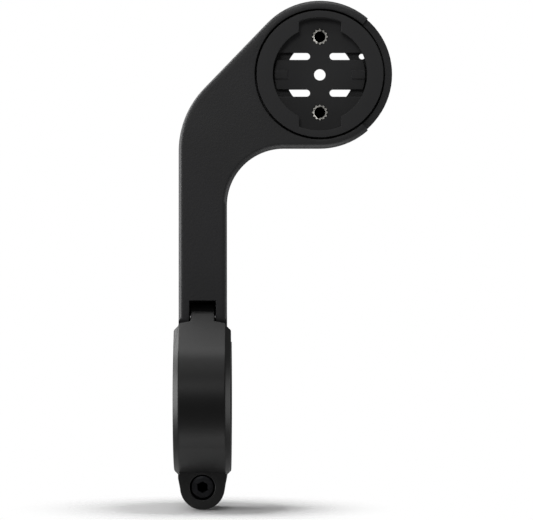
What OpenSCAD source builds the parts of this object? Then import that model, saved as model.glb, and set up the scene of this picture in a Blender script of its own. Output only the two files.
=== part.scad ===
// Out-front handlebar mount for a cycling computer, with a hinged clamp
// and a quarter-turn socket. The origin is the centre of the handlebar,
// +X runs along the bar, +Y points forwards and +Z points up.

/* [Handlebar clamp] */
// Diameter of the handlebar
bar_d = 31.8; // [26:0.1:39]
// Thickness of the rubber pads
pad_t = 1; // [0.8:0.1:1.3]
// Wall of the jaws behind the pads
jaw_t = 4.1; // [3.4:0.1:5.2]
// Width of the strap along the bar
strap_w = 15.8; // [13.4:0.1:19.2]
// Gap between the closed jaws
split_gap = 1.5; // [1.2:0.1:1.9]
// Chamfer along the sides of the strap
strap_chamfer = 1.5; // [1.2:0.1:1.9]

/* [Arm] */
// Width of the arm
arm_w = 13.3; // [11.6:0.1:15]
// Thickness of the arm
arm_t = 10; // [9.4:0.1:12]
// Head centre, measured sideways from the clamp
head_x = 32.5; // [29:0.5:39]
// Head centre, measured forwards from the bar
head_y = 90.5; // [84:0.5:110]
// Angle between the outer edge of the elbow and +Y
elbow_angle = 44; // [38:1:50]
// Radius of the outside of the elbow
elbow_outer_r = 25; // [20:0.5:30]
// Radius of the inside of the elbow
elbow_inner_r = 15.8; // [13.2:0.1:17.5]

/* [Head] */
// Wall of the head around the disc
head_wall = 2.35; // [2:0.05:2.9]
// Floor of the head under the disc
head_floor = 3; // [2.5:0.1:3.2]
// Depth of the lowered rim on the far side of the head
relief_drop = 1.3; // [1:0.1:1.6]
// Half angle of the lowered rim
relief_half_angle = 49.5; // [40:0.5:60]
// Radius of the light opening in the head's floor
floor_opening_r = 9.5; // [7.8:0.1:11.4]

/* [Quarter-turn disc] */
// Radius of the disc
disc_r = 17.5; // [17.3:0.1:21]
// Gap around the disc
disc_gap = 0.55; // [0.4:0.05:0.7]
// Radius inside the two lips
lip_r = 13.05; // [12.6:0.05:13.6]
// Radius of the space for the computer's tabs
tab_r = 15.65; // [15.2:0.05:15.9]
// Height of the space under the lips
tab_h = 2.1; // [1.8:0.1:2.5]
// Thickness of the lips
lip_t = 1.5; // [1.2:0.1:1.8]
// Thickness of the disc's floor
disc_floor = 2; // [1.6:0.1:2.4]
// Half width of the two entry slots
entry_half_w = 5.8; // [4.8:0.1:6.6]
// Distance of the thread inserts from the centre
insert_y = 10.5; // [9.9:0.1:11]

/* [Fasteners] */
// Radius of the hinge pin
pin_r = 1.25; // [1:0.05:1.5]
// Running clearance of turning and sliding pieces
run_gap = 0.06; // [0.04:0.01:0.1]
// Side clearance of the strap's tongue in the fork
fork_gap = 0.38; // [0.3:0.02:0.5]
// Width of the strap's tongue
tongue_w = 6.6; // [5.5:0.1:7.2]
// Radius of the thread core of the clamp bolt
bolt_core_r = 1.65; // [1.4:0.05:1.75]
// Radius of the clamp bolt's head
bolt_head_r = 3.3; // [2.8:0.05:3.4]
// Height of the clamp bolt's head
bolt_head_h = 2.3; // [1.9:0.1:2.4]
// Width of the nut across its flats
nut_flats = 7; // [6:0.1:7.4]
// Height of the nut
nut_h = 3.2; // [2.7:0.1:3.8]
// Length of the clamp bolt below its head
bolt_l = 10.8; // [10:0.1:13]
// Radius of the thread core of the disc screws
screw_core_r = 1.25; // [1.05:0.05:1.5]

/* [Hidden] */
$fn = 96;
eps = 0.02;
arc_steps = 24;

// Clamp
bar_r = bar_d / 2;
bore_r = bar_r + pad_t;
outer_r = bore_r + jaw_t;
half_gap = split_gap / 2;
half_t = arm_t / 2;

// Hinge: the pin lies in the split plane, just ahead of the jaws
ear_r = half_t;
pin_y = outer_r + 2;
knuckle_r = pin_r + 2.95;
knuckle_gap = 0.6;
shoulder_r = ear_r + 1.92;
shoulder_flare = 3.5;
wide_front_y = outer_r - 0.1;
slope_tilt = acos((outer_r - knuckle_r) / pin_y);
fork_w = tongue_w + 2 * fork_gap;
fork_end_y = pin_y + knuckle_r + knuckle_gap;

// Lug with the clamp bolt, behind the bar
lug_y = -outer_r - 2.7;
lug_r = 6.2;
lug_w = strap_w - 2.3;
lug_top = half_t + 2.2;
lug_front_y = -bore_r - pad_t;
lug_corner_y = -outer_r - 0.2;
lug_taper = 0.35;
lug_floor = 2.3;
washer_t = 0.8;
washer_r = bolt_head_r - 0.1;
counterbore_r = bolt_head_r + 0.2;
bolt_dome = 0.5;
bolt_key = 2.5;
bolt_key_depth = 1.4;
seat_z = half_gap + lug_floor;
head_z = seat_z + washer_t;
bolt_hole_r = bolt_core_r + 0.75;
nut_r = nut_flats / sqrt(3);
nut_bore_r = bolt_core_r + 0.5;
nut_floor = 3.1;
nut_sunk = 1.2;
nut_side_gap = 0.1;
nut_top = -half_gap - nut_floor;
lower_lug_bottom = nut_top - nut_h - nut_sunk;
nut_pocket_r = (nut_flats / 2 + nut_side_gap) / cos(30);

// Jaw's underside runs into the arm in a fillet
web_r = 14;
web_y = sqrt(pow(outer_r + web_r, 2) - pow(half_t + web_r, 2));

// Head and disc
pocket_r = disc_r + disc_gap;
head_r = pocket_r + head_wall;
floor_bottom = -head_floor;
disc_top = disc_floor + tab_h + lip_t;
relief_inset = 0.4;
under_rim = 1.6;
drain_angle = 23.9;
drain_from_lip = 0.2;
drain_r = 0.85;
insert_r = 2.1;
insert_proud = 0.1;
insert_bore_r = screw_core_r + 0.08;
boss_r = insert_r + 1;
boss_h = 1.6;
boss_gap = 0.2;
seat_r = boss_r + boss_gap + 0.85;
screw_hole_r = screw_core_r + 0.4;
screw_head_r = 2.8;
screw_head_h = 1.7;
screw_key_r = 1.15;
screw_key_depth = 1.1;
screw_tip_z = disc_floor - 0.6;
spring_cut = 2;
floor_bridge = 2.3;
spring_half_w = insert_y - insert_r - floor_bridge - spring_cut;
spring_start = 2.7;
spring_end_gap = 0.45;
ridge_l = 4;
ridge_w = 2.4;
ridge_h = 0.4;
ridge_to_lip = 2.2;
centre_hole_r = 1.6;

// Pads
stud_r = 1.5;
stud_h = 1.6;
stud_end_gap = 0.2;
stud_angles = [45, 135];
pad_side_gap = 0.2;
pad_w = strap_w - 2 * (strap_chamfer + pad_side_gap);
pin_l = arm_w - 0.6;

plastic = "#2b2b2c";
rubber = "#1c1c1d";
steel = "#2a2a2c";
nickel = "#a3a29e";

// A wedge of the plane about +X, long enough to cover the head
module sector(half_angle, reach) {
    polygon([
        [0, 0],
        [reach, -reach * tan(half_angle)],
        [reach, reach * tan(half_angle)]
    ]);
}

// Extrudes a side profile drawn in Y and Z to a width along X
module across(w) {
    rotate([90, 0, 90])
        translate([0, 0, -w / 2])
            linear_extrude(w) children();
}

// A cylinder along X
module cross_rod(r, w, y = 0, z = 0) {
    translate([-w / 2, y, z]) rotate([0, 90, 0]) cylinder(r = r, h = w);
}

// Points along a round stretch of an outline
function arc(centre, r, from, to) = [
    for (k = [0:arc_steps])
        let (angle = from + (to - from) * k / arc_steps)
            centre + r * [cos(angle), sin(angle)]
];

// Plan of the elbow, from the clamp to the head
module elbow_plan() {
    direction = [sin(elbow_angle), cos(elbow_angle)];
    touch = [head_x - head_r * direction[1], head_y + head_r * direction[0]];
    run = (touch[0] + arm_w / 2) / direction[0];
    corner_y = touch[1] - run * direction[1];
    outer_start_y = corner_y - elbow_outer_r * tan(elbow_angle / 2);
    outer_centre = [elbow_outer_r - arm_w / 2, outer_start_y];
    inner_centre = [arm_w / 2 + elbow_inner_r, head_y - head_r - elbow_inner_r];
    polygon(concat(
        [[-arm_w / 2, pin_y]],
        arc(outer_centre, elbow_outer_r, 180, 180 - elbow_angle),
        [touch, [head_x, head_y], [head_x, head_y - head_r]],
        arc(inner_centre, elbow_inner_r, 90, 180),
        [[arm_w / 2, pin_y]]
    ));
}

// Side profile of the lower jaw, open at the split plane
module lower_jaw_profile() {
    difference() {
        union() {
            circle(outer_r, $fn = 180);
            difference() {
                polygon([[0, 0], [web_y, -half_t - web_r], [web_y, 0]]);
                translate([web_y, -half_t - web_r]) circle(web_r, $fn = 180);
            }
        }
        circle(bore_r, $fn = 180);
        translate([-2 * outer_r, -half_gap]) square(4 * outer_r);
    }
}

// Plan of the bolt lug: straight flanks that close on a round end
module lug_plan() {
    translate([0, lug_y]) circle(lug_r);
    end_x = lug_r - lug_taper;
    end_y = lug_y - sqrt(pow(lug_r, 2) - pow(end_x, 2));
    polygon([
        [-lug_w / 2, lug_front_y],
        [-lug_w / 2, lug_corner_y],
        [-end_x, end_y],
        [end_x, end_y],
        [lug_w / 2, lug_corner_y],
        [lug_w / 2, lug_front_y]
    ]);
}

module pad_stud_holes(side) {
    for (angle = stud_angles)
        rotate([side * angle, 0, 0])
            translate([0, bore_r - pad_t, 0])
                rotate([-90, 0, 0])
                    cylinder(r = stud_r, h = pad_t + stud_h + stud_end_gap, $fn = 32);
}

// Opening under the springs, left of material for the four screw seats
module head_floor_cuts() {
    difference() {
        translate([0, 0, floor_bottom - eps])
            cylinder(r = floor_opening_r, h = head_floor + 2 * eps);
        for (turn = [0:90:270])
            rotate(turn)
                translate([0, insert_y, -head_floor * 2])
                    cylinder(r = seat_r, h = head_floor * 3, $fn = 64);
    }
    for (turn = [0:90:270])
        rotate(turn)
            translate([0, insert_y, 0]) {
                translate([0, 0, floor_bottom - eps])
                    cylinder(r = screw_hole_r, h = head_floor + 2 * eps, $fn = 48);
                translate([0, 0, -boss_h - boss_gap])
                    cylinder(r = boss_r + boss_gap, h = boss_h + 1, $fn = 64);
            }
    // Drain hole
    rotate(drain_angle)
        translate([lip_r - drain_from_lip, 0, floor_bottom - eps])
            cylinder(r = drain_r, h = head_floor + 2 * eps, $fn = 32);
}

module arm() {
    color(plastic)
        difference() {
            union() {
                translate([0, 0, -half_t]) linear_extrude(arm_t) elbow_plan();
                translate([head_x, head_y, -half_t]) cylinder(r = head_r, h = arm_t);
                cross_rod(ear_r, arm_w, pin_y);
                // The jaw is as wide as the strap, up to the strap's shoulders
                intersection() {
                    across(strap_w) lower_jaw_profile();
                    jaw_envelope();
                    translate([-strap_w, -2 * outer_r, -2 * outer_r])
                        cube([2 * strap_w, 2 * outer_r + pin_y - shoulder_r, 2 * outer_r]);
                }
                across(arm_w) lower_jaw_profile();
                translate([0, 0, lower_lug_bottom])
                    linear_extrude(-half_gap - lower_lug_bottom) lug_plan();
            }
            cross_rod(bore_r, 2 * strap_w);
            translate([-strap_w, -2 * outer_r, -half_gap])
                cube([2 * strap_w, 2 * outer_r + pin_y - shoulder_r, outer_r]);
            // Fork that takes the strap's tongue
            translate([-fork_w / 2, 0, -half_t - eps])
                cube([fork_w, fork_end_y, 2 * outer_r]);
            cross_rod(knuckle_r + knuckle_gap, fork_w, pin_y);
            cross_rod(pin_r, 2 * strap_w, pin_y);
            pad_stud_holes(-1);
            // Bolt hole and the nut's pocket, which opens below
            translate([0, lug_y, lower_lug_bottom - eps])
                cylinder(r = bolt_hole_r, h = -lower_lug_bottom);
            translate([0, lug_y, lower_lug_bottom - eps])
                cylinder(r = nut_pocket_r, h = nut_top - lower_lug_bottom + eps, $fn = 6);
            // Socket for the disc
            translate([head_x, head_y, 0]) {
                cylinder(r = pocket_r, h = arm_t);
                translate([0, 0, -half_t - eps])
                    cylinder(r = pocket_r - under_rim, h = half_t - head_floor + eps);
                head_floor_cuts();
                translate([0, 0, half_t - relief_drop])
                    linear_extrude(arm_t) sector(relief_half_angle, 2 * head_r);
                translate([0, 0, -arm_t])
                    linear_extrude(2 * arm_t)
                        intersection() {
                            sector(relief_half_angle, 2 * head_r);
                            difference() {
                                circle(2 * head_r);
                                circle(head_r - relief_inset, $fn = 180);
                            }
                        }
            }
        }
}

// Plan of the cuts that free the two springs and let light through
module spring_cuts() {
    cut_y = spring_half_w + spring_cut / 2;
    for (end = [0, 1], side = [0, 1])
        mirror([end, 0]) mirror([0, side]) {
            translate([spring_start + spring_cut / 2, cut_y]) circle(spring_cut / 2);
            translate([spring_start + spring_cut / 2, spring_half_w])
                square([tab_r - spring_start - spring_cut, spring_cut]);
        }
    intersection() {
        difference() {
            circle(tab_r);
            circle(lip_r - spring_end_gap);
        }
        square([3 * disc_r, 2 * (spring_half_w + spring_cut)], center = true);
    }
}

module quarter_turn_disc() {
    color(plastic)
        translate([head_x, head_y, 0])
            difference() {
                union() {
                    difference() {
                        cylinder(r = disc_r, h = disc_top);
                        translate([0, 0, disc_floor]) cylinder(r = tab_r, h = tab_h);
                        translate([0, 0, disc_floor])
                            cylinder(r = lip_r, h = disc_top);
                        translate([0, 0, disc_floor])
                            intersection() {
                                cylinder(r = tab_r, h = disc_top);
                                translate([-entry_half_w, -disc_r, 0])
                                    cube([2 * entry_half_w, 2 * disc_r, disc_top]);
                            }
                    }
                    for (side = [-1, 1]) {
                        translate([0, side * insert_y, -boss_h])
                            cylinder(r = boss_r, h = boss_h + disc_floor, $fn = 64);
                        // Detent ridge on the end of each spring
                        translate([side * (lip_r - ridge_to_lip), 0, disc_floor])
                            cube([ridge_l, ridge_w, 2 * ridge_h], center = true);
                    }
                }
                translate([0, 0, -eps])
                    cylinder(r = centre_hole_r, h = disc_floor + 1, $fn = 48);
                translate([0, 0, -eps]) linear_extrude(disc_floor + 1) spring_cuts();
                for (side = [-1, 1])
                    translate([0, side * insert_y, -boss_h - eps])
                        cylinder(r = insert_r, h = boss_h + disc_floor + 1, $fn = 64);
            }
}

// Knurled insert, moulded into the disc
module thread_insert(side) {
    color(nickel)
        translate([head_x, head_y + side * insert_y, -boss_h])
            difference() {
                cylinder(r = insert_r, h = boss_h + disc_floor + insert_proud, $fn = 64);
                translate([0, 0, -eps])
                    cylinder(r = insert_bore_r, h = boss_h + disc_floor + 1, $fn = 64);
            }
}

// Pan head screw that holds the disc from below
module disc_screw(side) {
    color(steel)
        translate([head_x, head_y + side * insert_y, 0]) {
            translate([0, 0, floor_bottom - eps])
                cylinder(r = screw_core_r, h = screw_tip_z - floor_bottom, $fn = 48);
            translate([0, 0, floor_bottom - screw_head_h])
                difference() {
                    cylinder(r = screw_head_r, h = screw_head_h, $fn = 64);
                    translate([0, 0, -eps])
                        cylinder(r = screw_key_r, h = screw_key_depth + eps, $fn = 6);
                }
        }
}

// Side profile of the strap: the jaw's arc runs straight to the knuckle
module strap_profile() {
    difference() {
        union() {
            circle(outer_r, $fn = 180);
            translate([pin_y, 0]) circle(knuckle_r);
            polygon([
                [0, 0],
                outer_r * [cos(slope_tilt), sin(slope_tilt)],
                [pin_y, 0] + knuckle_r * [cos(slope_tilt), sin(slope_tilt)],
                [pin_y, 0]
            ]);
        }
        circle(bore_r, $fn = 180);
        translate([-2 * outer_r, -2 * outer_r])
            square([2 * outer_r + pin_y - knuckle_r, 2 * outer_r + half_gap]);
    }
}

// Round shape with chamfered rims, which the jaws take on their sides
module jaw_envelope() {
    rotate([0, 90, 0])
        for (side = [0, 1])
            mirror([0, 0, side]) {
                cylinder(r = outer_r, h = strap_w / 2 - strap_chamfer + eps, $fn = 180);
                translate([0, 0, strap_w / 2 - strap_chamfer])
                    cylinder(
                        r1 = outer_r, r2 = outer_r - strap_chamfer,
                        h = strap_chamfer, $fn = 180
                    );
            }
}

// Section of the strap's long chamfer, at a distance out from the clamp's axis
module chamfer_section(surface) {
    over = 0.2;
    polygon([
        [surface - strap_chamfer - over, strap_w / 2 + over],
        [surface + over, strap_w / 2 - strap_chamfer - over],
        [surface + over, strap_w / 2 + over]
    ]);
}

// Chamfers along both sides of the strap: round the arc, then down the slope
module strap_chamfers() {
    for (side = [0, 1])
        mirror([side, 0, 0]) {
            rotate([90, 0, 90])
                rotate(slope_tilt)
                    rotate_extrude(angle = 180 - slope_tilt, $fn = 180)
                        chamfer_section(outer_r);
            rotate([slope_tilt, 0, 0])
                mirror([0, 0, 1])
                    linear_extrude(outer_r)
                        mirror([1, -1]) chamfer_section(outer_r);
        }
}

// Plan of the strap: its corners are cut back to the width of the arm
module strap_plan() {
    step = (strap_w - arm_w) / 2;
    polygon([
        [-strap_w / 2, -outer_r],
        [-strap_w / 2, wide_front_y - step],
        [-arm_w / 2, wide_front_y],
        [-arm_w / 2, fork_end_y],
        [arm_w / 2, fork_end_y],
        [arm_w / 2, wide_front_y],
        [strap_w / 2, wide_front_y - step],
        [strap_w / 2, -outer_r]
    ]);
}

module clamp_strap() {
    color(plastic)
        difference() {
            union() {
                intersection() {
                    across(strap_w) strap_profile();
                    linear_extrude(2 * outer_r) strap_plan();
                }
                translate([0, 0, half_gap])
                    linear_extrude(lug_top - half_gap) lug_plan();
            }
            cross_rod(bore_r, 2 * strap_w);
            strap_chamfers();
            // Shoulders stand clear of the ears
            for (side = [0, 1])
                mirror([side, 0, 0]) {
                    translate([tongue_w / 2, pin_y, 0])
                        rotate([0, 90, 0])
                            cylinder(r1 = shoulder_r, r2 = shoulder_r + shoulder_flare, h = strap_w);
                    translate([tongue_w / 2, pin_y, -outer_r])
                        cube([strap_w, outer_r, 2 * outer_r]);
                }
            cross_rod(pin_r + run_gap, 2 * strap_w, pin_y);
            pad_stud_holes(1);
            translate([0, lug_y, 0]) cylinder(r = bolt_hole_r, h = lug_top);
            translate([0, lug_y, seat_z]) cylinder(r = counterbore_r, h = lug_top);
        }
}

module hinge_pin() {
    color(steel) cross_rod(pin_r, pin_l, pin_y);
}

// Bolt with a low cap head and a hex socket, its thread drawn as the core
module clamp_bolt() {
    color(steel)
        translate([0, lug_y, head_z])
            difference() {
                union() {
                    cylinder(r = bolt_head_r, h = bolt_head_h - bolt_dome);
                    translate([0, 0, bolt_head_h - bolt_dome])
                        cylinder(
                            r1 = bolt_head_r, r2 = bolt_head_r - 2 * bolt_dome,
                            h = bolt_dome
                        );
                    translate([0, 0, -bolt_l])
                        cylinder(r = bolt_core_r, h = bolt_l + eps, $fn = 64);
                }
                translate([0, 0, bolt_head_h - bolt_key_depth])
                    cylinder(r = bolt_key / sqrt(3), h = bolt_head_h, $fn = 6);
            }
}

module lock_washer() {
    color(steel)
        translate([0, lug_y, seat_z])
            difference() {
                cylinder(r = washer_r, h = washer_t);
                translate([0, 0, -eps])
                    cylinder(r = bolt_core_r + run_gap, h = 2 * washer_t, $fn = 64);
            }
}

module clamp_nut() {
    color(steel)
        translate([0, lug_y, nut_top - nut_h])
            difference() {
                cylinder(r = nut_r, h = nut_h, $fn = 6);
                translate([0, 0, -eps])
                    cylinder(r = nut_bore_r, h = 2 * nut_h, $fn = 64);
            }
}

// Half liner with two locating studs
module pad(side) {
    color(rubber)
        difference() {
            union() {
                intersection() {
                    cross_rod(bore_r, pad_w);
                    translate([-pad_w, -bore_r, side > 0 ? half_gap : -bore_r])
                        cube([2 * pad_w, 2 * bore_r, bore_r - half_gap]);
                }
                for (angle = stud_angles)
                    rotate([side * angle, 0, 0])
                        translate([0, bore_r - pad_t, 0])
                            rotate([-90, 0, 0])
                                cylinder(r = stud_r, h = pad_t + stud_h, $fn = 32);
            }
            cross_rod(bar_r, 2 * strap_w);
        }
}

module lower_pad() { pad(-1); }
module upper_pad() { pad(1); }
module thread_insert_front() { thread_insert(1); }
module thread_insert_rear() { thread_insert(-1); }
module disc_screw_front() { disc_screw(1); }
module disc_screw_rear() { disc_screw(-1); }

arm();
quarter_turn_disc();
thread_insert_front();
thread_insert_rear();
disc_screw_front();
disc_screw_rear();
clamp_strap();
hinge_pin();
clamp_bolt();
lock_washer();
clamp_nut();
lower_pad();
upper_pad();
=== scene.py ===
# Out-front handlebar mount for a cycling computer: its looks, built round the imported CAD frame.
# Metres throughout, in the frame's own axes: +X along the bar, +Y forwards, +Z up.
import math

import bmesh
import bpy
from mathutils import Matrix, Vector


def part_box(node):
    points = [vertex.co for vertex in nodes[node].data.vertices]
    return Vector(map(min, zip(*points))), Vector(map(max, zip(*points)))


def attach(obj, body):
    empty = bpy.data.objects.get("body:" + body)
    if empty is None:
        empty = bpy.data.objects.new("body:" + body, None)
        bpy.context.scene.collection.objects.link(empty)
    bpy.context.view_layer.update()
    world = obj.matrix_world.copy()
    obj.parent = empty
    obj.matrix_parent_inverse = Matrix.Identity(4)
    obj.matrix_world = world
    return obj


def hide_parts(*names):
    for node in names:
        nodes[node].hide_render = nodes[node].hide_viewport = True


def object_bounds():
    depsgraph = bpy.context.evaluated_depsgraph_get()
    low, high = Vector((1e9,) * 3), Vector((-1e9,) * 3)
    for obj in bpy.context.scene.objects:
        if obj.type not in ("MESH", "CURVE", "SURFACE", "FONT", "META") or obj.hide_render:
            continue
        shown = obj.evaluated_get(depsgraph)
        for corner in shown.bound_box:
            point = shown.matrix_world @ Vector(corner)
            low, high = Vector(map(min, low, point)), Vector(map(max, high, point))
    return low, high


mm = 0.001

print("stage: frame")
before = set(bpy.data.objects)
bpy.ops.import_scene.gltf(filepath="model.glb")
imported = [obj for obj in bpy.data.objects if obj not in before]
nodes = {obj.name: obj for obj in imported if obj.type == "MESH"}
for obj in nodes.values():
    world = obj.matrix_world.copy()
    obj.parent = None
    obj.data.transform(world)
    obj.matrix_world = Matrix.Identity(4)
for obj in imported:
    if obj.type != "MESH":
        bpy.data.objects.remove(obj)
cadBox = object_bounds()


def spanOf(node):
    low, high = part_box(node)
    return Vector(low), Vector(high)


def middleOf(node):
    low, high = spanOf(node)
    return (low + high) / 2


# The part of a noise pattern's range that holds nearly all of its values
patternSpan = {"From Min": 0.3, "From Max": 0.7}


def linear(hexColour):
    channels = []
    for start in (0, 2, 4):
        value = int(hexColour[start:start + 2], 16) / 255
        channels.append(value / 12.92 if value <= 0.04045 else ((value + 0.055) / 1.055) ** 2.4)
    return (*channels, 1.0)


def addNode(tree, kind, links=None, inputs=None, **settings):
    node = tree.nodes.new(kind)
    for key, value in settings.items():
        setattr(node, key, value)
    for key, value in (inputs or {}).items():
        node.inputs[key].default_value = value
    for key, source in (links or {}).items():
        tree.links.new(source, node.inputs[key])
    return node


def newMaterial(name):
    material = bpy.data.materials.new(name)
    material.use_nodes = True
    material.node_tree.nodes.clear()
    coords = addNode(material.node_tree, "ShaderNodeTexCoord").outputs["Object"]
    return material, material.node_tree, coords


# Moulded plastic: the mould's eroded texture is a fine grain, and the melt's flow leaves faint clouds
def mouldedPlastic(name, look):
    material, tree, coords = newMaterial(name)
    grain = addNode(tree, "ShaderNodeTexNoise", {"Vector": coords},
                    {"Scale": 1 / (look["grainMm"] * mm), "Detail": 3.0, "Roughness": 0.65}).outputs["Fac"]
    pits = addNode(tree, "ShaderNodeTexVoronoi", {"Vector": coords}, {"Scale": 1 / (look["pitMm"] * mm)},
                   feature="SMOOTH_F1").outputs["Distance"]
    clouds = addNode(tree, "ShaderNodeTexNoise", {"Vector": coords},
                     {"Scale": 1 / (look["cloudMm"] * mm), "Detail": 2.0}).outputs["Fac"]
    height = addNode(tree, "ShaderNodeMath", {0: grain, 1: pits}, operation="ADD").outputs[0]
    bump = addNode(tree, "ShaderNodeBump", {"Height": height},
                   {"Strength": look["bump"], "Distance": look["depthMm"] * mm})
    cloudMix = addNode(tree, "ShaderNodeMapRange", {"Value": clouds}, patternSpan).outputs["Result"]
    tone = addNode(tree, "ShaderNodeMix", {0: cloudMix}, {6: linear(look["dark"]), 7: linear(look["light"])},
                   data_type="RGBA").outputs[2]
    # Rubbed edges are a touch paler
    edges = addNode(tree, "ShaderNodeNewGeometry").outputs["Pointiness"]
    worn = addNode(tree, "ShaderNodeMapRange", {"Value": edges},
                   {"From Min": 0.51, "From Max": 0.6, "To Max": look["wear"]}).outputs["Result"]
    colour = addNode(tree, "ShaderNodeMix", {0: worn, 6: tone}, {7: linear(look["rubbed"])},
                     data_type="RGBA").outputs[2]
    rough = addNode(tree, "ShaderNodeMapRange", {"Value": grain},
                    {**patternSpan, "To Min": look["roughness"] - look["roughSpread"],
                     "To Max": look["roughness"] + look["roughSpread"]}).outputs["Result"]
    shader = addNode(tree, "ShaderNodeBsdfPrincipled",
                     {"Base Color": colour, "Roughness": rough, "Normal": bump.outputs["Normal"]},
                     {"IOR": look["ior"]})
    addNode(tree, "ShaderNodeOutputMaterial", {"Surface": shader.outputs[0]})
    return material


# Steel or plated brass: turned or ground, with fine tool marks and a slightly uneven finish
def workedMetal(name, look):
    material, tree, coords = newMaterial(name)
    marks = addNode(tree, "ShaderNodeTexNoise", {"Vector": coords},
                    {"Scale": 1 / (look["markMm"] * mm), "Detail": 4.0, "Roughness": 0.6}).outputs["Fac"]
    clouds = addNode(tree, "ShaderNodeTexNoise", {"Vector": coords},
                     {"Scale": 1 / (look["cloudMm"] * mm), "Detail": 2.0}).outputs["Fac"]
    bump = addNode(tree, "ShaderNodeBump", {"Height": marks},
                   {"Strength": look["bump"], "Distance": look["depthMm"] * mm})
    cloudMix = addNode(tree, "ShaderNodeMapRange", {"Value": clouds}, patternSpan).outputs["Result"]
    tone = addNode(tree, "ShaderNodeMix", {0: cloudMix}, {6: linear(look["dark"]), 7: linear(look["light"])},
                   data_type="RGBA").outputs[2]
    rough = addNode(tree, "ShaderNodeMapRange", {"Value": marks},
                    {**patternSpan, "To Min": look["roughness"] - look["roughSpread"],
                     "To Max": look["roughness"] + look["roughSpread"]}).outputs["Result"]
    shader = addNode(tree, "ShaderNodeBsdfPrincipled",
                     {"Base Color": tone, "Roughness": rough, "Normal": bump.outputs["Normal"]},
                     {"Metallic": 1.0})
    addNode(tree, "ShaderNodeOutputMaterial", {"Surface": shader.outputs[0]})
    return material


print("stage: materials")
# Black glass-filled nylon from an eroded mould: dull and slightly sparkling. The real grain is near 0.1 mm,
# too fine to show, so it is drawn at 0.4 mm.
armNylon = mouldedPlastic("glassFilledNylonEroded", {
    "grainMm": 0.4, "pitMm": 0.55, "cloudMm": 16, "dark": "252526", "light": "2a2a2b", "rubbed": "28282a",
    "roughness": 0.47, "roughSpread": 0.07, "bump": 0.6, "depthMm": 0.035, "wear": 0.6, "ior": 1.45})
# The same nylon from a finer mould: satin, smoother under the computer's foot
discNylon = mouldedPlastic("nylonSatinMoulded", {
    "grainMm": 0.35, "pitMm": 0.6, "cloudMm": 9, "dark": "232324", "light": "262627", "rubbed": "28282a",
    "roughness": 0.46, "roughSpread": 0.06, "bump": 0.2, "depthMm": 0.02, "wear": 0.6, "ior": 1.45})
# Unfilled nylon of the strap: the smoothest and darkest of the three
strapNylon = mouldedPlastic("nylonFineMoulded", {
    "grainMm": 0.22, "pitMm": 0.5, "cloudMm": 12, "dark": "070707", "light": "0a0a0a", "rubbed": "202021",
    "roughness": 0.4, "roughSpread": 0.05, "bump": 0.15, "depthMm": 0.015, "wear": 0.5, "ior": 1.4})
# Moulded rubber: matt and dark, with a talc-like bloom
padRubber = mouldedPlastic("rubberMoulded", {
    "grainMm": 0.35, "pitMm": 0.8, "cloudMm": 5, "dark": "121212", "light": "1a1a19", "rubbed": "262625",
    "roughness": 0.82, "roughSpread": 0.06, "bump": 0.4, "depthMm": 0.03, "wear": 0.3, "ior": 1.5})
# Nickel over brass: pale grey with a warm trace
nickel = workedMetal("nickelPlatedBrass", {
    "markMm": 0.15, "cloudMm": 2, "dark": "c8c6c0", "light": "dad8d2", "roughness": 0.42,
    "roughSpread": 0.07, "bump": 0.2, "depthMm": 0.01})
# Black oxide on steel: nearly black, with a soft oily sheen
blackOxide = workedMetal("steelBlackOxide", {
    "markMm": 0.2, "cloudMm": 3, "dark": "28282a", "light": "343436", "roughness": 0.4,
    "roughSpread": 0.07, "bump": 0.25, "depthMm": 0.012})
# Phosphated and oiled steel of the disc screws: mid grey with a soft sheen
phosphated = workedMetal("steelPhosphated", {
    "markMm": 0.25, "cloudMm": 2, "dark": "7a7a7c", "light": "8c8c8e", "roughness": 0.36,
    "roughSpread": 0.07, "bump": 0.3, "depthMm": 0.012})
# Ground stainless steel
stainless = workedMetal("stainlessSteelGround", {
    "markMm": 0.2, "cloudMm": 3, "dark": "a0a0a2", "light": "b8b8b8", "roughness": 0.3,
    "roughSpread": 0.07, "bump": 0.2, "depthMm": 0.01})


# Large flat faces keep their own direction, and the narrow edge strips between them take up the turn
def shadeByArea(mesh, limit):
    around = [[] for vertex in mesh.vertices]
    for face in mesh.polygons:
        for vertex in face.vertices:
            around[vertex].append(face)
    normals = []
    for face in mesh.polygons:
        for vertex in face.vertices:
            total = Vector()
            for other in around[vertex]:
                if other.normal.angle(face.normal, 0) < limit:
                    total += other.normal * other.area
            normals.append(total.normalized())
    mesh.normals_split_custom_set(normals)


def finishPiece(bm, name, material, node, body, smoothAngle=35):
    mesh = bpy.data.meshes.new(name)
    bm.to_mesh(mesh)
    bm.free()
    # Shading stored with the CAD mesh no longer fits the new edges
    if "custom_normal" in mesh.attributes:
        mesh.attributes.remove(mesh.attributes["custom_normal"])
    mesh.materials.append(material)
    for face in mesh.polygons:
        face.use_smooth = True
    shadeByArea(mesh, math.radians(smoothAngle))
    piece = bpy.data.objects.new(name, mesh)
    bpy.context.scene.collection.objects.link(piece)
    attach(piece, body)
    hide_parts(node)
    print("piece:", name, len(mesh.polygons), "faces")
    return piece


# Distance in mm and angles in degrees
rounding = {"merge": 0.0005, "flatBelow": 0.4, "sharpAbove": 25}


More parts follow.
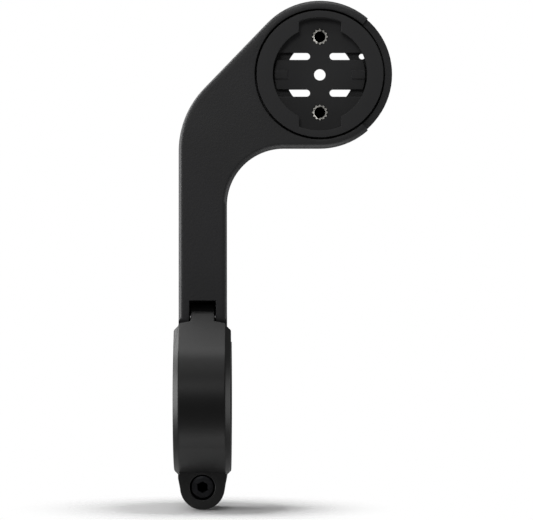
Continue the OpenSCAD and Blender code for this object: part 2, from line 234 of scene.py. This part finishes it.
# A CAD node's shape with its sharp edges rounded, one pass for each width
def roundedCopy(node, passes):
    bm = bmesh.new()
    bm.from_mesh(nodes[node].data)
    bmesh.ops.remove_doubles(bm, verts=bm.verts, dist=rounding["merge"] * mm)
    flatAngle = math.radians(rounding["flatBelow"])
    bmesh.ops.dissolve_limit(bm, angle_limit=flatAngle, verts=bm.verts, edges=bm.edges)
    sharpAngle = math.radians(rounding["sharpAbove"])
    for width, segments, wanted in passes:
        sharp = [edge for edge in bm.edges
                 if len(edge.link_faces) == 2 and edge.calc_face_angle() > sharpAngle and wanted(edge)]
        bmesh.ops.bevel(bm, geom=sharp, offset=width * mm, offset_type="OFFSET", affect="EDGES",
                        segments=segments, profile=0.5, material=-1, clamp_overlap=False)
    bmesh.ops.triangulate(bm, faces=[face for face in bm.faces if len(face.verts) > 4])
    return bm


# Turned and knurled pieces are skins over level rings. Each ring is a height and a function that gives
# a radius for every angle, both in mm.
ringsPerTurn = 8  # of a thread


def circle(radius):
    return lambda angle: radius


def hexagon(flats):
    return lambda angle: flats / 2 / math.cos((angle + math.pi / 6) % (math.pi / 3) - math.pi / 6)


def smaller(first, second):
    return lambda angle: min(first(angle), second(angle))


def wider(shape, extra):
    return lambda angle: shape(angle) + extra


# Radius of a helical thread at one height: sloped flanks between a flat crest and a flat root
def thread(root, crest, pitch, height):
    def radius(angle):
        phase = (height / pitch - angle / (2 * math.pi)) % 1
        return root + (crest - root) * min(1.0, max(0.0, 1.6 - 4 * abs(phase - 0.5)))
    return radius


def threadRings(root, crest, pitch, bottom, top):
    steps = round((top - bottom) / pitch * ringsPerTurn)
    heights = [bottom + (top - bottom) * step / steps for step in range(steps + 1)]
    return [(height, thread(root, crest, pitch, height)) for height in heights]


def ringSkin(rings, place, segments=48, closed=False):
    bm = bmesh.new()
    loops = []
    for height, radius in rings:
        made = bmesh.ops.create_circle(bm, cap_ends=False, radius=1.0, segments=segments)["verts"]
        for vert in made:
            angle = math.atan2(vert.co.y, vert.co.x)
            reach = radius(angle) * mm
            vert.co = Vector((math.cos(angle), math.sin(angle), 0)) * reach + Vector((0, 0, height * mm))
        loops.append(list({edge for vert in made for edge in vert.link_edges}))
    for lower, upper in zip(loops, loops[1:]):
        bmesh.ops.bridge_loops(bm, edges=lower + upper)
    if closed:
        bmesh.ops.bridge_loops(bm, edges=loops[-1] + loops[0])
    else:
        bmesh.ops.edgeloop_fill(bm, edges=loops[0])
        bmesh.ops.edgeloop_fill(bm, edges=loops[-1])
    bmesh.ops.recalc_face_normals(bm, faces=bm.faces)
    bmesh.ops.translate(bm, vec=place, verts=bm.verts)
    return bm


# Where a node's axis meets its lowest level
def footOf(node):
    return Vector((middleOf(node).x, middleOf(node).y, spanOf(node)[0].z))


def heightMm(node):
    low, high = spanOf(node)
    return (high.z - low.z) / mm


print("stage: arm")
head = middleOf("quarter_turn_disc")
# Millimetres and degrees. Places are measured along the frame's axes, and radii from the head's middle.
armLook = {"edge": 1.4, "smallEdge": 0.18, "faceZ": 5, "faceStartY": 23, "pocketR": 19,
           "forkX": 5, "forkEndY": 30, "socketR": 18.5, "socketTopZ": 4.9,
           "jawRearY": -18, "jawFrontY": 22, "jawX": 7.5, "reliefR": 17, "reliefAngle": 51}


def nearRelief(point):
    away = point.xy - head.xy
    bearing = abs(math.degrees(math.atan2(away.y, away.x)))
    return away.length > armLook["reliefR"] * mm and bearing < armLook["reliefAngle"]


# The outline of the arm's top and bottom faces
def isOutline(edge):
    point = (edge.verts[0].co + edge.verts[1].co) / 2
    level = abs(edge.verts[0].co.z - edge.verts[1].co.z) < 0.001 * mm
    onFace = abs(abs(point.z) - armLook["faceZ"] * mm) < 0.01 * mm and point.y > armLook["faceStartY"] * mm
    beyondPocket = (point.xy - head.xy).length > armLook["pocketR"] * mm
    inFork = abs(point.x) < armLook["forkX"] * mm and point.y < armLook["forkEndY"] * mm
    return level and onFace and beyondPocket and not inFork and not nearRelief(point)


def isSmallEdge(edge):
    point = (edge.verts[0].co + edge.verts[1].co) / 2
    away = (point.xy - head.xy).length
    inSocket = away < armLook["socketR"] * mm and point.z < armLook["socketTopZ"] * mm
    # The jaw's crescent faces are too thin to round
    onJaw = (armLook["jawRearY"] * mm < point.y < armLook["jawFrontY"] * mm
             and abs(point.x) < armLook["jawX"] * mm)
    return (not inSocket and not onJaw and not nearRelief(point)
            and edge.calc_length() > 2.5 * armLook["smallEdge"] * mm)


bm = roundedCopy("arm", [(armLook["edge"], 5, isOutline), (armLook["smallEdge"], 2, isSmallEdge)])
finishPiece(bm, "armMoulding", armNylon, "arm", "frame")

print("stage: disc")
discLook = {"edge": 0.1}
bm = roundedCopy("quarter_turn_disc", [(discLook["edge"], 2, lambda edge: True)])
finishPiece(bm, "quarterTurnDisc", discNylon, "quarter_turn_disc", "disc")

# Thread inserts: knurled outside, threaded inside
insertLook = {"teeth": 12, "tip": 2.2, "root": 1.85, "bore": 1.33, "pitch": 0.5, "threadDepth": 0.1,
              "play": 0.02, "leadIn": 0.3, "footFlare": 0.25, "rimFlare": 0.2, "rimBevel": 0.05}


def knurl(angle):
    wave = math.cos(angle * insertLook["teeth"])
    return insertLook["root"] + (insertLook["tip"] - insertLook["root"]) * (0.5 + 0.5 * wave)


for node in ("thread_insert_front", "thread_insert_rear"):
    look = insertLook
    length = heightMm(node)
    bore = threadRings(look["bore"] + look["play"], look["bore"] - look["threadDepth"], look["pitch"],
                       look["leadIn"], length - look["leadIn"])
    rings = [(0, circle(look["bore"] + look["footFlare"])), (0, circle(look["root"])),
             (look["leadIn"], knurl), (length - look["rimBevel"], knurl),
             (length, wider(knurl, -look["rimBevel"])),
             (length, circle(look["bore"] + look["rimFlare"]))] + bore[::-1]
    bm = ringSkin(rings, footOf(node), segments=96, closed=True)
    finishPiece(bm, node.replace("thread_insert_", "knurledInsert."), nickel, node, "disc",
                25)

# Disc screws: pan heads below the floor, threaded up into the inserts
print("stage: fasteners")
# The head is at the bottom, so heights start from its outer face. The dome is a list of heights and radii.
screwLook = {"headR": 2.8, "headH": 1.7, "faceR": 1.75, "dome": [(0.1, 2.15), (0.35, 2.5), (0.75, 2.73)],
             "sideFrom": 1.2, "sideTo": 1.6, "underR": 2.7, "key": 2.0, "keyDepth": 1.1, "keyBevel": 0.12,
             "root": 1.1, "crest": 1.3, "pitch": 0.5, "endBevel": 0.3, "endR": 0.9}
for node in ("disc_screw_front", "disc_screw_rear"):
    look = screwLook
    length = heightMm(node)
    hexKey = hexagon(look["key"])
    rings = [(look["keyDepth"], hexKey), (look["keyBevel"], hexKey), (0, wider(hexKey, look["keyBevel"])),
             (0, circle(look["faceR"]))]
    rings += [(height, circle(radius)) for height, radius in look["dome"]]
    rings += [(look["sideFrom"], circle(look["headR"])), (look["sideTo"], circle(look["headR"])),
              (look["headH"], circle(look["underR"]))]
    rings += threadRings(look["root"], look["crest"], look["pitch"], look["headH"], length - look["endBevel"])
    rings.append((length, circle(look["endR"])))
    bm = ringSkin(rings, footOf(node))
    finishPiece(bm, node.replace("disc_screw_", "panScrew."), phosphated, node, node.replace("disc_", ""),
                30)

# Clamp bolt: low cap head with a rounded rim and a hex socket
boltLook = {"headR": 3.3, "headH": 2.3, "rimRound": 0.45, "rimSteps": 8, "crown": 0.12, "crownFromR": 2.2,
            "underR": 3.18, "underBevel": 0.12, "neckR": 1.8, "neckH": 0.6, "key": 2.5, "keyDepth": 1.4,
            "keyBevel": 0.15, "root": 1.6, "crest": 1.95, "pitch": 0.7, "endBevel": 0.4, "endR": 1.3}
look = boltLook
length = heightMm("clamp_bolt")
headBase = length - look["headH"]
rimTop = length - look["crown"]
hexSocket = hexagon(look["key"])
rings = [(length - look["keyDepth"], hexSocket), (length - look["keyBevel"], hexSocket),
         (length, wider(hexSocket, look["keyBevel"])), (length, circle(look["crownFromR"])),
         (rimTop, circle(look["headR"] - look["rimRound"]))]
for step in range(1, look["rimSteps"] + 1):
    turn = math.radians(90 * step / look["rimSteps"])
    rings.append((rimTop - look["rimRound"] * (1 - math.cos(turn)),
                  circle(look["headR"] - look["rimRound"] * (1 - math.sin(turn)))))
rings += [(headBase + look["underBevel"], circle(look["headR"])), (headBase, circle(look["underR"])),
          (headBase, circle(look["neckR"]))]
rings += threadRings(look["root"], look["crest"], look["pitch"], look["endBevel"],
                     headBase - look["neckH"])[::-1]
rings.append((0, circle(look["endR"])))
bm = ringSkin(rings, footOf("clamp_bolt"))
finishPiece(bm, "capBolt", blackOxide, "clamp_bolt", "bolt", 30)

# Lock washer: one turn of square wire, cut and sprung
washerLook = {"outer": 3.2, "inner": 2.0, "corner": 0.12, "wireShare": 0.86, "gapAngle": 9, "gapFaces": 200,
              "steps": 60}
look = washerLook
middle = middleOf("lock_washer")
foot = footOf("lock_washer")
tall = heightMm("lock_washer") * mm
wireH = tall * look["wireShare"]  # the rest of the height is its spring
bm = bmesh.new()
for vert in bmesh.ops.create_grid(bm, x_segments=1, y_segments=1, size=0.5)["verts"]:
    reach = (look["inner"] + (vert.co.x + 0.5) * (look["outer"] - look["inner"])) * mm
    vert.co = Vector((foot.x + reach, foot.y, foot.z + (vert.co.y + 0.5) * wireH))
bmesh.ops.bevel(bm, geom=bm.verts[:], offset=look["corner"] * mm, offset_type="OFFSET", affect="VERTICES",
                segments=2, profile=0.5, material=-1)
bmesh.ops.spin(bm, geom=bm.verts[:] + bm.edges[:] + bm.faces[:], cent=middle, axis=(0, 0, 1),
               dvec=(0, 0, (tall - wireH) / look["steps"]), angle=math.radians(360 - look["gapAngle"]),
               steps=look["steps"], use_merge=False, use_duplicate=False)
bmesh.ops.recalc_face_normals(bm, faces=bm.faces)
bmesh.ops.rotate(bm, verts=bm.verts, cent=middle,
                 matrix=Matrix.Rotation(math.radians(look["gapFaces"]), 3, "Z"))
finishPiece(bm, "splitWasher", blackOxide, "lock_washer", "washer", 30)

# Nut: corners turned down at both ends
nutLook = {"flats": 7.0, "bore": 2.15, "threadDepth": 0.15, "pitch": 0.7, "leadIn": 0.35, "flare": 0.2,
           "faceR": 3.55, "bevelR": 3.75, "bevelAt": 0.12, "cornersAt": 0.28}
look = nutLook
length = heightMm("clamp_nut")
hexNut = hexagon(look["flats"])
bevelled = smaller(hexNut, circle(look["bevelR"]))
fullHex = smaller(hexNut, circle(look["flats"] / math.sqrt(3)))
bore = threadRings(look["bore"], look["bore"] - look["threadDepth"], look["pitch"], look["leadIn"],
                   length - look["leadIn"])
rings = [(0, circle(look["bore"] + look["flare"])), (0, circle(look["faceR"])), (look["bevelAt"], bevelled),
         (look["cornersAt"], fullHex), (length - look["cornersAt"], fullHex),
         (length - look["bevelAt"], bevelled), (length, circle(look["faceR"])),
         (length, circle(look["bore"] + look["flare"]))] + bore[::-1]
bm = ringSkin(rings, footOf("clamp_nut"), segments=72, closed=True)
finishPiece(bm, "hexNut", stainless, "clamp_nut", "frame", 25)

# Hinge pin: turned, with chamfered and slightly domed ends
# Each end is heights and radii from its tip to the full width
pinLook = {"end": [(0, 0.3), (0.03, 0.65), (0.1, 0.95)], "chamfer": 0.35}
low, high = spanOf("hinge_pin")
pinL, pinR = (high.x - low.x) / mm, (high.z - low.z) / 2 / mm
endRings = [(height, circle(radius)) for height, radius in pinLook["end"]]
endRings.append((pinLook["chamfer"], circle(pinR)))
farRings = [(pinL - height, radius) for height, radius in endRings[::-1]]
bm = ringSkin(endRings + [(pinL / 2, circle(pinR))] + farRings, Vector((0, 0, 0)))
bmesh.ops.rotate(bm, verts=bm.verts, cent=(0, 0, 0), matrix=Matrix.Rotation(math.radians(90), 3, "Y"))
bmesh.ops.translate(bm, vec=Vector((low.x, middleOf("hinge_pin").y, middleOf("hinge_pin").z)), verts=bm.verts)
finishPiece(bm, "turnedPin", stainless, "hinge_pin", "frame", 30)

# Rubber pads with softened edges
print("stage: pads")
padLook = {"edge": 0.12}
for node, body in (("lower_pad", "frame"), ("upper_pad", "strap")):
    bm = roundedCopy(node, [(padLook["edge"], 2, lambda edge: True)])
    finishPiece(bm, node.replace("_pad", "RubberPad"), padRubber, node, body)

print("stage: strap")
strapLook = {"edge": 0.25}
# Only the edges that stand out are rounded, so that the inner corners stay crisp
bm = roundedCopy("clamp_strap", [(strapLook["edge"], 3, lambda edge: edge.calc_face_angle_signed() > 0)])
finishPiece(bm, "clampStrap", strapNylon, "clamp_strap", "strap")

print("stage: studio")
# The paper's grey and its fade reach are set so that the grey patch round the lug reads as a painted contact
# shadow
floorLook = {"tone": "dadada", "reachMm": 55, "solidAt": 0.35, "dropMm": 0.1}
# The mount stands on its lug, so the floor is square to +Y. From below it lets light and view through.
floorMaterial, tree, coords = newMaterial("palePaperShadePatch")
paper = addNode(tree, "ShaderNodeBsdfDiffuse", inputs={"Color": linear(floorLook["tone"])})
clear = addNode(tree, "ShaderNodeBsdfTransparent")
# It fades out round the object, so that no edge shows against the white. The grey left round the lug is
# painted shade, a soft dim contact shadow added to the real shadow that the lamps cast
reach = floorLook["reachMm"] * mm
spot = addNode(tree, "ShaderNodeMapping", {"Vector": coords}, {"Scale": (1 / reach,) * 3}).outputs["Vector"]
near = addNode(tree, "ShaderNodeTexGradient", {"Vector": spot},
               gradient_type="QUADRATIC_SPHERE").outputs["Fac"]
shadePatch = addNode(tree, "ShaderNodeMapRange", {"Value": near},
                {"From Max": floorLook["solidAt"]}).outputs["Result"]
backs = addNode(tree, "ShaderNodeNewGeometry").outputs["Backfacing"]
fronts = addNode(tree, "ShaderNodeMath", {1: backs}, {0: 1.0}, operation="SUBTRACT").outputs[0]
cover = addNode(tree, "ShaderNodeMath", {0: shadePatch, 1: fronts}, operation="MULTIPLY").outputs[0]
oneSided = addNode(tree, "ShaderNodeMixShader", {0: cover, 1: clear.outputs[0], 2: paper.outputs[0]})
addNode(tree, "ShaderNodeOutputMaterial", {"Surface": oneSided.outputs[0]})
bm = bmesh.new()
bmesh.ops.create_grid(bm, x_segments=1, y_segments=1, size=reach)
for vert in bm.verts:
    vert.co = Vector((vert.co.x, 0, -vert.co.y))
bmesh.ops.recalc_face_normals(bm, faces=bm.faces)
if bm.faces[:][0].normal.y < 0:
    bmesh.ops.reverse_faces(bm, faces=bm.faces)
mesh = bpy.data.meshes.new("floor")
bm.to_mesh(mesh)
bm.free()
mesh.materials.append(floorMaterial)
floor = bpy.data.objects.new("floor", mesh)
floor.location = (0, cadBox[0].y - floorLook["dropMm"] * mm, 0)
bpy.context.scene.collection.objects.link(floor)
# Its own shadow would cut off the light from behind the clamp
floor.visible_shadow = False

# The paper is pure white to the eye, dimmer in reflections and faint as light on the black plastic
studio = {"fill": 0.03, "reflected": 0.16}
world = bpy.data.worlds.new("studio")
bpy.context.scene.world = world
world.use_nodes = True
tree = world.node_tree
tree.nodes.clear()
rays = addNode(tree, "ShaderNodeLightPath").outputs
seen = addNode(tree, "ShaderNodeMath", {0: rays["Is Camera Ray"], 1: rays["Is Transmission Ray"]},
               operation="MAXIMUM").outputs[0]
mirrored = addNode(tree, "ShaderNodeMath", {0: rays["Is Glossy Ray"]}, {1: studio["reflected"]},
                   operation="MULTIPLY").outputs[0]
brightest = addNode(tree, "ShaderNodeMath", {0: seen, 1: mirrored}, operation="MAXIMUM").outputs[0]
level = addNode(tree, "ShaderNodeMath", {0: brightest}, {1: studio["fill"]}, operation="MAXIMUM").outputs[0]
sky = addNode(tree, "ShaderNodeBackground", {"Strength": level}, {"Color": (1, 1, 1, 1)})
addNode(tree, "ShaderNodeOutputWorld", {"Surface": sky.outputs[0]})


aim = (15 * mm, 40 * mm, 0)  # the middle of the mount


# Places and sizes in metres
def softbox(name, place, width, height, watts):
    lamp = bpy.data.lights.new(name, "AREA")
    lamp.shape = "RECTANGLE"
    lamp.size = width
    lamp.size_y = height
    lamp.energy = watts
    box = bpy.data.objects.new(name, lamp)
    box.location = place
    box.rotation_euler = (Vector(aim) - Vector(place)).to_track_quat("-Z", "Y").to_euler()
    bpy.context.scene.collection.objects.link(box)


softbox("leftSoftbox", (-0.5, 0.05, 0.02), 0.3, 0.5, 3)
softbox("lowLeftSoftbox", (-0.36, 0.34, -0.25), 0.3, 0.3, 1.4)
softbox("rightSoftbox", (0.5, 0.0, 0.0), 0.3, 0.5, 1)
softbox("topSoftbox", (0.0, 0.55, 0.02), 0.45, 0.3, 1.4)
softbox("highTopSoftbox", (-0.05, 0.5, 0.38), 0.3, 0.2, 0.28)
softbox("bottomSoftbox", (0.03, -0.45, 0.05), 0.4, 0.6, 1.9)
softbox("keyCard", (-0.12, 0.42, 0.95), 0.25, 0.25, 0.95)

# A long lens from 0.9 m straight above, so that nothing leans
view = {"lens": 218.5, "sensor": 36, "nearest": 0.01, "place": (0.01769, 0.03905, 0.90)}
cameraData = bpy.data.cameras.new("camera")
cameraData.lens = view["lens"]
cameraData.sensor_width = view["sensor"]
cameraData.clip_start = view["nearest"]
camera = bpy.data.objects.new("camera", cameraData)
camera.location = view["place"]
bpy.context.scene.collection.objects.link(camera)
bpy.context.scene.camera = camera
bpy.context.scene.view_settings.view_transform = "Standard"

print("stage: finish")
